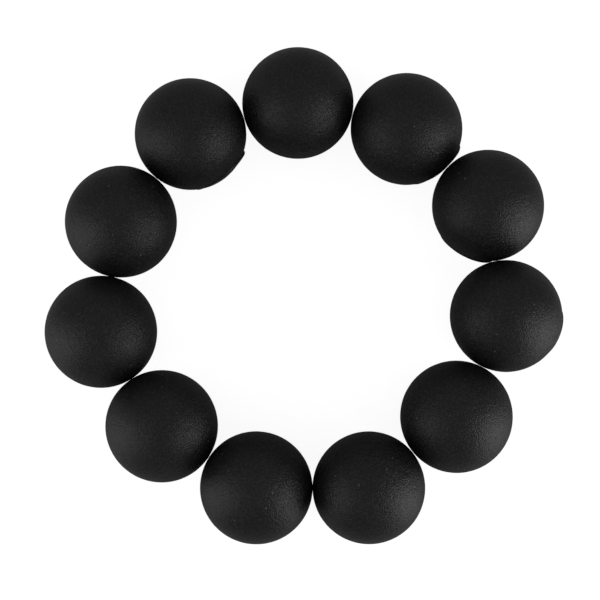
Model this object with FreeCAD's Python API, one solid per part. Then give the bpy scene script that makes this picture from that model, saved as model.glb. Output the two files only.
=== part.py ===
import FreeCAD, Part
import math
import os

# Eleven loose friction balls of solid black rubber, laid on a flat surface in one closed ring.
# Millimetres, +Z up. The origin is on the surface, under the middle of the ring's footprint.

# One ball
BALL_DIAMETER = 64.0
BALL_RADIUS = BALL_DIAMETER / 2

# The ring. Neighbours touch, and this much air keeps their solids apart.
CONTACT_GAP = 0.2
STEP = BALL_DIAMETER + CONTACT_GAP

# The ring is laid by hand, so it isn't a true circle. It is walked clockwise, as seen from above,
# from ball_01, and the last ball goes where it touches both of its neighbours.
FIRST_HEADING_DEG = -13.5
TURNS_DEG = [30.0, 37.5, 35.5, 24.5, 39.0, 33.0, 24.0, 43.0]

# The trimmed moulding mark on each ball: a low circular lip with a sharp outer edge, whose top
# slopes inwards to meet the ball. It stands off centre, so one side of it is higher.
MARK_HALF_ANGLE_DEG = 33.0
LIP_FOOT_HALF_ANGLE_DEG = 20.0
LIP_HEIGHT = 0.6
LIP_ROOT_DEPTH = 0.8
LIP_FOOT_DEPTH = 0.3
LIP_OFFSET = 0.8

# Where each ball's mark faces, in ring order from ball_01: its heading about +Z from +X, its dip
# below the horizontal, and the turn of the lip's high side about the mark's own axis, in degrees.
# Four face sideways and a little down. The rest face down, with the surface touching the ball inside
# its lip: no dip lies between 42 and 74, where the lip itself would lift its ball off the surface.
MARKS_DEG = [
    (75, 84, 160),
    (-48, 22, 0),
    (-118, 30, 0),
    (-20, 30, 0),
    (-75, 78, 210),
    (-95, 86, 30),
    (-130, 77, 75),
    (170, 81, 250),
    (205, 76, 120),
    (120, 82, 300),
    (-50, 20, 0),
]


def direction(heading_deg, elevation_deg=0.0):
    """Unit vector at a heading about +Z from +X and an elevation above the horizontal."""
    heading = math.radians(heading_deg)
    elevation = math.radians(elevation_deg)
    level = math.cos(elevation)
    return FreeCAD.Vector(level * math.cos(heading), level * math.sin(heading), math.sin(elevation))


def walk_ring():
    """Centres of the balls in ring order, one step apart, with ball_01 at the origin."""
    heading = FIRST_HEADING_DEG
    centres = [FreeCAD.Vector(0, 0, 0)]
    for turn in TURNS_DEG + [0.0]:
        centres.append(centres[-1] + direction(heading) * STEP)
        heading -= turn
    return centres + [closing_centre(centres[-1], centres[0])]


def closing_centre(before, after):
    """Centre of the ball that touches both neighbours, on the outer side of the ring."""
    gap = after - before
    outward = FreeCAD.Vector(-gap.y, gap.x, 0).normalize()
    return before + gap / 2 + outward * math.sqrt(STEP ** 2 - (gap.Length / 2) ** 2)


def stand_at_origin(balls):
    """Moves the placed balls so that their footprint's middle is the origin, with every ball at z 0."""
    box = Part.makeCompound(balls).optimalBoundingBox()
    for ball in balls:
        ball.translate(FreeCAD.Vector(-box.Center.x, -box.Center.y, -box.ZMin))


def section_point(angle_deg, radius):
    """Point of the lip's section, at an angle from the mark's axis and a radius from the centre."""
    angle = math.radians(angle_deg)
    return FreeCAD.Vector(radius * math.sin(angle), 0, radius * math.cos(angle))


def make_lip():
    """The lip of a mark that faces +Z, with its high side towards +X."""
    root = section_point(MARK_HALF_ANGLE_DEG, BALL_RADIUS - LIP_ROOT_DEPTH)
    crest = section_point(MARK_HALF_ANGLE_DEG, BALL_RADIUS + LIP_HEIGHT)
    foot = section_point(LIP_FOOT_HALF_ANGLE_DEG, BALL_RADIUS - LIP_FOOT_DEPTH)
    section = Part.Face(Part.makePolygon([root, crest, foot, root]))
    lip = section.revolve(FreeCAD.Vector(0, 0, 0), FreeCAD.Vector(0, 0, 1), 360)
    lip.translate(FreeCAD.Vector(LIP_OFFSET, 0, 0))
    return lip


def make_ball():
    """One solid ball about its own centre, with its mark facing +Z."""
    ball = Part.makeSphere(BALL_RADIUS).fuse(make_lip())
    return Part.Solid(ball.Solids[0])


def mark_rotation(heading_deg, dip_deg, lip_turn_deg):
    """Rotation that faces the mark the given way, with its lip turned about the mark's axis."""
    facing = direction(heading_deg, -dip_deg)
    level = direction(heading_deg + 90)
    up = facing.cross(level)
    faced = FreeCAD.Rotation(level, up, facing, "ZXY")
    return faced.multiply(FreeCAD.Rotation(FreeCAD.Vector(0, 0, 1), lip_turn_deg))


def main():
    os.makedirs("parts", exist_ok=True)
    ball = make_ball()
    balls = []
    for centre, mark in zip(walk_ring(), MARKS_DEG):
        placed = ball.copy()
        placed.Placement = FreeCAD.Placement(centre, mark_rotation(*mark))
        balls.append(placed)
    stand_at_origin(balls)
    for number, placed in enumerate(balls, start=1):
        placed.exportStep(f"parts/ball_{number:02d}.step")


main()
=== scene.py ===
import math

import bpy
import numpy as np
from mathutils import Matrix, Vector


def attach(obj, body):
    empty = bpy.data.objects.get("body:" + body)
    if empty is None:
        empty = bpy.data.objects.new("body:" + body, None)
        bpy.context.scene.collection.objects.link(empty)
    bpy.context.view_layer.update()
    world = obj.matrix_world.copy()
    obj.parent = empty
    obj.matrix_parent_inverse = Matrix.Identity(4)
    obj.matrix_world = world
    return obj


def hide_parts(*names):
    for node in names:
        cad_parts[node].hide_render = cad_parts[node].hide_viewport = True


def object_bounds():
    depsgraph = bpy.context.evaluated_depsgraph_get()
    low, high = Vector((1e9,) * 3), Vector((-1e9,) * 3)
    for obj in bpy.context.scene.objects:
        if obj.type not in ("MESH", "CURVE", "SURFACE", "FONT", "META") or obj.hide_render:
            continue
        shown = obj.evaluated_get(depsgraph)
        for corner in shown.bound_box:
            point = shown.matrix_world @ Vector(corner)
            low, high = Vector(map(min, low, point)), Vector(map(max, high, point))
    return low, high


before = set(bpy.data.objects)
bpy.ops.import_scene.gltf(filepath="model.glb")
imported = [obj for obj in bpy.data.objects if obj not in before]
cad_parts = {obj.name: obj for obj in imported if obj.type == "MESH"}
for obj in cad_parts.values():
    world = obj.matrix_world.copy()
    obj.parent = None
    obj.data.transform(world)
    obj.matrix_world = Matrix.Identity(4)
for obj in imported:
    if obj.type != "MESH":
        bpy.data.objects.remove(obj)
cad_low, cad_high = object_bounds()

# A ring of eleven loose rubber friction balls, seen from almost straight above. Each ball is one mesh that
# replaces its CAD ball: the same sphere with an uneven moulded skin and the trimmed mark of its mould.

MM = 0.001
BALL_RADIUS = 32 * MM

# Ball meshes: rings about the axis of each ball's moulding mark
SEGMENTS = 192
RINGS_IN_MARK = 30
RINGS_OUTSIDE = 110
FIRST_SEED = 4100

# The sphere that is fitted to a CAD ball
FIT_PASSES = 4
FIT_TOLERANCE = 0.002 * MM

# The trimmed moulding mark on each ball, in the order ball_01 to ball_11: its heading about +Z from +X,
# its dip below the horizontal, and the turn of its high side about the mark's own axis, in degrees.
MARKS_DEG = [
    (75, 84, 160),
    (-48, 22, 0),
    (-118, 30, 0),
    (-20, 30, 0),
    (-75, 78, 210),
    (-95, 86, 30),
    (-130, 77, 75),
    (170, 81, 250),
    (205, 76, 120),
    (120, 82, 300),
    (-50, 20, 0),
]
MARK_EDGE_DEG = 33.0

# The lip along the mark's edge: a steep wall outside, a slope inside, one low side and one high side
LIP_WALL_DEG = 0.5
LIP_LOW = 0.25 * MM
LIP_HIGH = 1.05 * MM
LIP_LOW_WIDTH_DEG = 3.0
LIP_HIGH_WIDTH_DEG = 13.0
LIP_SIDE_POWER = 1.4
LIP_SLOPE_POWER = 1.3
LIP_RAGGEDNESS = 0.14
LIP_WAVES_AROUND = range(2, 12)
LIP_WAVE_SHARE = (0.5, 1.0)

# The moulded skin: long swells and short ripples on the sphere. Each pattern is a count of waves,
# and the fewest and most radians of phase along one radius.
SKIN_OFFSET = 0.04 * MM
SWELL_WAVES = (12, 1.5, 4.0)
SWELL_HEIGHT = 0.07 * MM
SWELL_LOWEST = -0.15 * MM
SWELL_HIGHEST = 0.12 * MM
RIPPLE_WAVES = (40, 14, 30)
RIPPLE_HEIGHT = 0.012 * MM

# Grain of the rubber, as bump
PEBBLE_SIZE = 0.9 * MM
PEBBLE_SHARE = 0.5
FINE_GRAIN_SIZE = 0.45 * MM
FINE_GRAIN_SHARE = 0.5
WIDE_GRAIN_SIZE = 3.5 * MM
WIDE_GRAIN_SHARE = 0.6
TORN_GRAIN_SIZE = 1.6 * MM
TORN_GRAIN_SHARE = 1.6
TORN_GRAIN_DETAIL = 4.0
TORN_GRAIN_ROUGHNESS = 0.65
GRAIN_DEPTH = 0.38 * MM

# Colour and gloss of the rubber. Greys are linear. Each pair of edges is where a noise starts to count,
# and where it counts in full. A dust speck is full inside half of its radius and fades out from there.
CLOUD_SIZE = 22 * MM
CLOUD_DETAIL = 3.0
CLOUD_EDGES = (0.35, 0.65)
CLOUD_GREYS = (0.013, 0.019)
SPECKLE_SIZE = 1.1 * MM
SPECKLE_EDGES = (0.42, 0.72)
SPECKLE_GREYS = (0.0, 0.062)
SPECKLE_SHARE = 0.40
SCRATCH_PATCHES = [((0.5, 0.9, 0.6), 24 * MM), ((-0.8, 0.4, -0.9), 29 * MM)]
PATCH_EDGES = (0.60, 0.64)
SCRATCH_LENGTH = 7 * MM
SCRATCH_STRETCH = 12
SCRATCH_EDGES = (0.66, 0.68)
SCRATCH_GREY = 0.06
SCRATCH_SHARE = 0.5
DUST_SPACING = 8 * MM
DUST_RADIUS = 0.6 * MM
DUST_COLOUR = (0.16, 0.155, 0.15, 1)
DULLING_EDGES = (0.3, 0.7)
ROUGHNESS_GLOSSY = 0.26
ROUGHNESS_DULL = 0.35
MARK_ROUGHENING = 0.1
RUBBER_IOR = 1.5

# Stage, in metres
FLOOR_SIZE = 4.0
FLOOR_GREY = 0.8
FLOOR_GLOW = 0.88
TABLE_RADIUS = 0.155
TABLE_DROP = 0.5 * MM
TABLE_SIDES = 64
TABLE_GREY = 0.42
BACKDROP_RADIUS = 2 * FLOOR_SIZE
BACKDROP_RINGS = 9
BACKDROP_SEGMENTS = 32
ROOM_LIGHT_EDGES = (0.15, 0.65)
ROOM_LIGHT_LOW = 0.155
ROOM_LIGHT_HIGH = 0.225
# Name, azimuth from +X and elevation in degrees, distance and size in metres, power in watts
SOFTBOXES = [
    ("softbox_left", 201, 24, 1.3, 0.6, 1.34),
    ("softbox_left_low", 196, -11, 1.3, 1.08, 1.5),
    ("softbox_right", -22, 20, 1.3, 0.58, 2.42),
    ("softbox_right_low", -26, -11, 1.3, 1.08, 3.1),
]

# Camera: almost straight down, a little from the -Y side
CAMERA_DISTANCE = 1.2
CAMERA_TILT_DEG = 3.25
PICTURE_WIDTH = 0.34325
AIM_OFFSET = Vector((-2.45 * MM, -3.2 * MM, 0))
SENSOR_WIDTH_MM = 36.0


# ---------------------------------------------------------------- shapes in rings

def ring_directions(angles, segments):
    """Unit vectors in rings about +Z, one ring for each angle from it, with the angle and the turn
    about +Z of each vector."""
    around = np.arange(segments) * 2 * math.pi / segments
    angle, turn = np.meshgrid(angles, around, indexing="ij")
    vectors = np.stack([np.sin(angle) * np.cos(turn), np.sin(angle) * np.sin(turn), np.cos(angle)], axis=-1)
    return vectors.reshape(-1, 3), angle.ravel(), turn.ravel()


def ring_quads(rings, segments):
    """Faces between neighbouring rings of vertices."""
    index = np.arange(rings * segments).reshape(rings, segments)
    beside = np.roll(index, -1, axis=1)
    return np.stack([index[:-1], index[1:], beside[1:], beside[:-1]], axis=-1).reshape(-1, 4).tolist()


# ---------------------------------------------------------------- ball meshes

def waves(rng, count, low, high):
    """Random plane waves whose sum is a smooth pattern on the unit sphere."""
    axes = rng.normal(size=(count, 3))
    axes /= np.linalg.norm(axes, axis=1, keepdims=True)
    pitch = rng.uniform(low, high, size=(count, 1))
    return axes * pitch, rng.uniform(0, 2 * math.pi, size=count)


def wave_sum(directions, pattern):
    """The pattern at each direction, about -1 to 1."""
    vectors, phases = pattern
    total = np.sin(directions @ vectors.T + phases).sum(axis=1)
    return total / math.sqrt(len(phases))


def ball_centre(node):
    """Centre of the sphere that the CAD node's vertices lie on. Each pass fits a sphere to the vertices
    and then leaves out those that are off it, which are the lip's."""
    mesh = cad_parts[node].data
    points = np.empty(len(mesh.vertices) * 3)
    mesh.vertices.foreach_get("co", points)
    points = points.reshape(-1, 3)
    for _ in range(FIT_PASSES):
        system = np.c_[2 * points, np.ones(len(points))]
        solution = np.linalg.lstsq(system, (points ** 2).sum(axis=1), rcond=None)[0]
        centre = solution[:3]
        radius = math.sqrt(solution[3] + centre @ centre)
        off = np.abs(np.linalg.norm(points - centre, axis=1) - radius)
        points = points[off <= max(off.mean(), FIT_TOLERANCE)]
    return centre


def mark_matrix(heading_deg, dip_deg, lip_turn_deg):
    """Columns are the mark's level, up and facing directions, turned about the facing."""
    heading = math.radians(heading_deg)
    dip = math.radians(-dip_deg)
    facing = Vector((math.cos(dip) * math.cos(heading), math.cos(dip) * math.sin(heading), math.sin(dip)))
    level = Vector((-math.sin(heading), math.cos(heading), 0))
    up = facing.cross(level)
    faced = Matrix((level, up, facing)).transposed()
    return np.array(faced @ Matrix.Rotation(math.radians(lip_turn_deg), 3, "Z"))


def ring_angles():
    """Angles of the mesh's rings from the mark's axis, the poles left out."""
    inside = np.linspace(0, MARK_EDGE_DEG, RINGS_IN_MARK + 1)[1:]
    outside = np.linspace(MARK_EDGE_DEG + LIP_WALL_DEG, 180, RINGS_OUTSIDE + 1)[:-1]
    return np.radians(np.r_[inside, outside])


def in_mark(angle):
    """Whether an angle from the mark's axis is inside the mark, its edge counted as inside."""
    return angle < math.radians(MARK_EDGE_DEG + 0.5 * LIP_WALL_DEG)


def lip_height(angle, turn, rng):
    """Height of the trimmed lip at an angle from the mark's axis and a turn about it."""
    ragged = sum(
        rng.uniform(*LIP_WAVE_SHARE) / n * np.sin(n * turn + rng.uniform(0, 2 * math.pi))
        for n in LIP_WAVES_AROUND
    )
    high_side = (0.5 + 0.5 * np.cos(turn)) ** LIP_SIDE_POWER
    crest = (LIP_LOW + (LIP_HIGH - LIP_LOW) * high_side) * (1 + LIP_RAGGEDNESS * ragged)
    width = np.radians(LIP_LOW_WIDTH_DEG + (LIP_HIGH_WIDTH_DEG - LIP_LOW_WIDTH_DEG) * high_side)
    inward = (math.radians(MARK_EDGE_DEG) - angle) / width
    slope = np.clip(1 - inward, 0, 1) ** LIP_SLOPE_POWER
    return np.where(in_mark(angle), crest * slope, 0)


def skin_height(directions, rng):
    """Height of the uneven moulded skin over the true sphere."""
    swell = wave_sum(directions, waves(rng, *SWELL_WAVES)) * SWELL_HEIGHT
    ripple = wave_sum(directions, waves(rng, *RIPPLE_WAVES)) * RIPPLE_HEIGHT
    return SKIN_OFFSET + np.clip(swell, SWELL_LOWEST, SWELL_HIGHEST) + ripple


def ball_faces(rings):
    """Quads between the rings, and triangles from the first and last rings to the two poles, which
    come after the rings' vertices."""
    first_pole = rings * SEGMENTS
    last_pole = first_pole + 1
    last_ring = first_pole - SEGMENTS
    edges = [(segment, (segment + 1) % SEGMENTS) for segment in range(SEGMENTS)]
    faces = ring_quads(rings, SEGMENTS)
    faces += [(first_pole, start, end) for start, end in edges]
    faces += [(last_pole, last_ring + end, last_ring + start) for start, end in edges]
    return faces


def make_ball(number, mark):
    """One ball with its place in its mesh, in rings about the axis of its mark."""
    node = f"ball_{number:02d}"
    rng = np.random.default_rng(FIRST_SEED + number)
    angles = ring_angles()
    local, angle, turn = ring_directions(angles, SEGMENTS)
    local = np.r_[local, [[0, 0, 1], [0, 0, -1]]]
    lip = np.r_[lip_height(angle, turn, rng), 0, 0]
    directions = local @ mark_matrix(*mark).T
    radius = BALL_RADIUS + skin_height(directions, rng) + lip
    vertices = ball_centre(node) + directions * radius[:, None]

    mesh = bpy.data.meshes.new(f"friction_{node}")
    mesh.from_pydata(vertices.tolist(), [], ball_faces(len(angles)))
    mesh.polygons.foreach_set("use_smooth", [True] * len(mesh.polygons))
    inside = np.r_[in_mark(angle), True, False].astype(float)
    mesh.attributes.new("mark", "FLOAT", "POINT").data.foreach_set("value", inside)
    mesh.update()
    piece = bpy.data.objects.new(f"friction_{node}", mesh)
    bpy.context.collection.objects.link(piece)
    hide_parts(node)
    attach(piece, node)
    return piece


# ---------------------------------------------------------------- materials

def grey(level):
    """An opaque grey."""
    return level, level, level, 1


class Graph:
    """Adds and links the nodes of one material or world. The Mix node's sockets are given by number,
    because its number, vector and colour sockets share their names."""

    def __init__(self, owner):
        owner.use_nodes = True
        self.tree = owner.node_tree

    def node(self, kind, inputs, **settings):
        """A new node, with its settings, and each input set to a value or linked to a socket."""
        made = self.tree.nodes.new(kind)
        for name, value in settings.items():
            setattr(made, name, value)
        for name, value in inputs.items():
            if isinstance(value, bpy.types.NodeSocket):
                self.tree.links.new(value, made.inputs[name])
            else:
                made.inputs[name].default_value = value
        return made

    def math(self, operation, first, second):
        """The result of one operation on two values."""
        return self.node("ShaderNodeMath", {0: first, 1: second}, operation=operation).outputs[0]

    def ramp(self, value, start, end, low=0.0, high=1.0):
        """value mapped from start..end to low..high, and held at its ends."""
        inputs = {"Value": value, "From Min": start, "From Max": end, "To Min": low, "To Max": high}
        return self.node("ShaderNodeMapRange", inputs).outputs["Result"]

    def mix(self, factor, first, second):
        """Colour mix from first to second."""
        mixer = self.node("ShaderNodeMix", {0: factor, 6: first, 7: second}, data_type="RGBA")
        return mixer.outputs[2]

    def noise(self, vector, size, detail=2.0, roughness=0.5):
        """Noise whose features are about size metres across."""
        inputs = {"Vector": vector, "Scale": 1 / size, "Detail": detail, "Roughness": roughness}
        return self.node("ShaderNodeTexNoise", inputs).outputs["Fac"]

    def cells(self, vector, size):
        """Distance to the nearest point of Voronoi cells about size metres across, as a share of size."""
        inputs = {"Vector": vector, "Scale": 1 / size}
        return self.node("ShaderNodeTexVoronoi", inputs).outputs["Distance"]


def grain_height(graph, place, mark):
    """Pebbled moulded grain outside the mark, and the coarser torn grain of trimmed rubber inside it."""
    pebble = graph.cells(place, PEBBLE_SIZE)
    dome = graph.math("SUBTRACT", 1.0, graph.math("POWER", pebble, 2.0))
    fine = graph.noise(place, FINE_GRAIN_SIZE)
    wide = graph.noise(place, WIDE_GRAIN_SIZE)
    moulded = graph.math("ADD", graph.math("MULTIPLY", dome, PEBBLE_SHARE),
                         graph.math("MULTIPLY", fine, FINE_GRAIN_SHARE))
    moulded = graph.math("ADD", moulded, graph.math("MULTIPLY", wide, WIDE_GRAIN_SHARE))
    torn = graph.noise(place, TORN_GRAIN_SIZE, TORN_GRAIN_DETAIL, TORN_GRAIN_ROUGHNESS)
    torn = graph.math("MULTIPLY", torn, TORN_GRAIN_SHARE)
    return graph.node("ShaderNodeMix", {0: mark, 2: moulded, 3: torn}).outputs[0]


def scratches(graph, place, tilt, patch_size):
    """Fine broken lines across one direction, in a few patches, from 0 to 1."""
    inputs = {"Vector": place, "Rotation": tilt}
    tilted = graph.node("ShaderNodeVectorRotate", inputs, rotation_type="EULER_XYZ").outputs["Vector"]
    drawn_out = graph.node("ShaderNodeMapping", {"Vector": tilted, "Scale": (1, SCRATCH_STRETCH, 1)})
    line = graph.noise(drawn_out.outputs["Vector"], SCRATCH_LENGTH, detail=1.0)
    thin = graph.ramp(line, *SCRATCH_EDGES)
    patch = graph.ramp(graph.noise(place, patch_size, detail=1.0), *PATCH_EDGES)
    return graph.math("MULTIPLY", thin, patch)


def rubber_colour(graph, place, cloud):
    """Black with soft clouds, a fine grey speckle, scratches and dust."""
    speckle = graph.ramp(graph.noise(place, SPECKLE_SIZE, detail=1.0), *SPECKLE_EDGES)
    dust_edge = DUST_RADIUS / DUST_SPACING
    dust = graph.ramp(graph.cells(place, DUST_SPACING), dust_edge, 0.5 * dust_edge)
    scuff = graph.math("MAXIMUM", *[scratches(graph, place, tilt, size) for tilt, size in SCRATCH_PATCHES])

    colour = graph.mix(graph.ramp(cloud, *CLOUD_EDGES), *map(grey, CLOUD_GREYS))
    colour = graph.mix(SPECKLE_SHARE, colour, graph.mix(speckle, *map(grey, SPECKLE_GREYS)))
    colour = graph.mix(graph.math("MULTIPLY", scuff, SCRATCH_SHARE), colour, grey(SCRATCH_GREY))
    return graph.mix(dust, colour, DUST_COLOUR)


def rubber_material():
    """Satin black rubber with a fine pebbled grain, clouding, dust specks and a few fine scratches."""
    material = bpy.data.materials.new("black_rubber")
    graph = Graph(material)
    place = graph.node("ShaderNodeTexCoord", {}).outputs["Object"]
    mark = graph.node("ShaderNodeAttribute", {}, attribute_name="mark").outputs["Fac"]
    cloud = graph.noise(place, CLOUD_SIZE, CLOUD_DETAIL)
    colour = rubber_colour(graph, place, cloud)
    roughness = graph.ramp(cloud, *DULLING_EDGES, ROUGHNESS_GLOSSY, ROUGHNESS_DULL)
    roughness = graph.math("ADD", roughness, graph.math("MULTIPLY", mark, MARK_ROUGHENING))
    inputs = {"Height": grain_height(graph, place, mark), "Strength": 1.0, "Distance": GRAIN_DEPTH}
    bump = graph.node("ShaderNodeBump", inputs)

    shader = graph.tree.nodes["Principled BSDF"]
    graph.tree.links.new(colour, shader.inputs["Base Color"])
    graph.tree.links.new(roughness, shader.inputs["Roughness"])
    graph.tree.links.new(bump.outputs["Normal"], shader.inputs["Normal"])
    shader.inputs["IOR"].default_value = RUBBER_IOR
    return material


# ---------------------------------------------------------------- stage

def stage_object(name, vertices, faces, level, emission):
    """A mesh that isn't part of the object, with a plain matt grey material that may glow white."""
    mesh = bpy.data.meshes.new(name)
    mesh.from_pydata(vertices, [], faces)
    thing = bpy.data.objects.new(name, mesh)
    bpy.context.collection.objects.link(thing)
    material = bpy.data.materials.new(name)
    material.use_nodes = True
    shader = material.node_tree.nodes["Principled BSDF"]
    shader.inputs["Base Color"].default_value = grey(level)
    shader.inputs["Roughness"].default_value = 1.0
    shader.inputs["Specular IOR Level"].default_value = 0.0
    shader.inputs["Emission Color"].default_value = grey(1)
    shader.inputs["Emission Strength"].default_value = emission
    mesh.materials.append(material)
    return thing


def show_only(thing, to_camera):
    """Shows a stage object to the camera alone, or to everything but the camera."""
    thing.visible_camera = to_camera
    thing.visible_diffuse = not to_camera
    thing.visible_glossy = not to_camera
    thing.visible_transmission = not to_camera
    thing.visible_shadow = not to_camera


def make_floor():
    """A pale floor that only the camera sees, lit to white with soft contact shadows."""
    size = FLOOR_SIZE
    corners = [(-size, -size, 0), (size, -size, 0), (size, size, 0), (-size, size, 0)]
    show_only(stage_object("floor_seen", corners, [(0, 1, 2, 3)], FLOOR_GREY, FLOOR_GLOW), to_camera=True)


def make_table():
    """A small round table, hidden from the camera, that throws light back up at the balls."""
    turns = [2 * math.pi * n / TABLE_SIDES for n in range(TABLE_SIDES)]
    rim = [(TABLE_RADIUS * math.cos(turn), TABLE_RADIUS * math.sin(turn), 0) for turn in turns]
    table = stage_object("table_bounce", rim, [tuple(range(TABLE_SIDES))], TABLE_GREY, 0.0)
    table.location.z = -TABLE_DROP
    show_only(table, to_camera=False)


def make_backdrop():
    """White all round, seen by the camera alone."""
    angles = np.linspace(math.pi, 0, BACKDROP_RINGS)
    directions = ring_directions(angles, BACKDROP_SEGMENTS)[0]
    vertices = (BACKDROP_RADIUS * directions).tolist()
    faces = ring_quads(BACKDROP_RINGS, BACKDROP_SEGMENTS)
    show_only(stage_object("backdrop", vertices, faces, 0.0, 1.0), to_camera=True)


def make_world():
    """The room's soft light, which comes mostly from overhead."""
    world = bpy.data.worlds.new("studio")
    bpy.context.scene.world = world
    graph = Graph(world)
    place = graph.node("ShaderNodeTexCoord", {}).outputs["Generated"]
    height = graph.node("ShaderNodeSeparateXYZ", {"Vector": place}).outputs["Z"]
    strength = graph.ramp(height, *ROOM_LIGHT_EDGES, ROOM_LIGHT_LOW, ROOM_LIGHT_HIGH)
    background = graph.tree.nodes["Background"]
    background.inputs["Color"].default_value = grey(1)
    graph.tree.links.new(strength, background.inputs["Strength"])


def add_softbox(name, azimuth_deg, elevation_deg, distance, size, power):
    """A square area light aimed at the middle of the ring, at the height of the balls' centres."""
    light = bpy.data.lights.new(name, "AREA")
    light.shape = "SQUARE"
    light.size = size
    light.energy = power
    azimuth, elevation = math.radians(azimuth_deg), math.radians(elevation_deg)
    level = math.cos(elevation)
    away = Vector((level * math.cos(azimuth), level * math.sin(azimuth), math.sin(elevation)))
    softbox = bpy.data.objects.new(name, light)
    softbox.location = away * distance + Vector((0, 0, BALL_RADIUS))
    softbox.rotation_euler = (-away).to_track_quat("-Z", "Y").to_euler()
    softbox.visible_camera = False
    bpy.context.collection.objects.link(softbox)


def make_camera():
    """The camera, aimed near the middle of the ring at the height of the balls' centres."""
    camera = bpy.data.cameras.new("camera")
    camera.sensor_width = SENSOR_WIDTH_MM
    camera.lens = SENSOR_WIDTH_MM * CAMERA_DISTANCE / PICTURE_WIDTH
    middle = (Vector(cad_low) + Vector(cad_high)) / 2
    aim = middle + AIM_OFFSET
    tilt = math.radians(CAMERA_TILT_DEG)
    viewer = bpy.data.objects.new("camera", camera)
    viewer.location = aim + CAMERA_DISTANCE * Vector((0, -math.sin(tilt), math.cos(tilt)))
    viewer.rotation_euler = (tilt, 0, 0)
    bpy.context.collection.objects.link(viewer)
    bpy.context.scene.camera = viewer


# ---------------------------------------------------------------- build

rubber = rubber_material()
for number, mark in enumerate(MARKS_DEG, start=1):
    make_ball(number, mark).data.materials.append(rubber)
make_floor()
make_table()
make_backdrop()
make_world()
for softbox in SOFTBOXES:
    add_softbox(*softbox)
make_camera()
bpy.context.scene.view_settings.view_transform = "Standard"
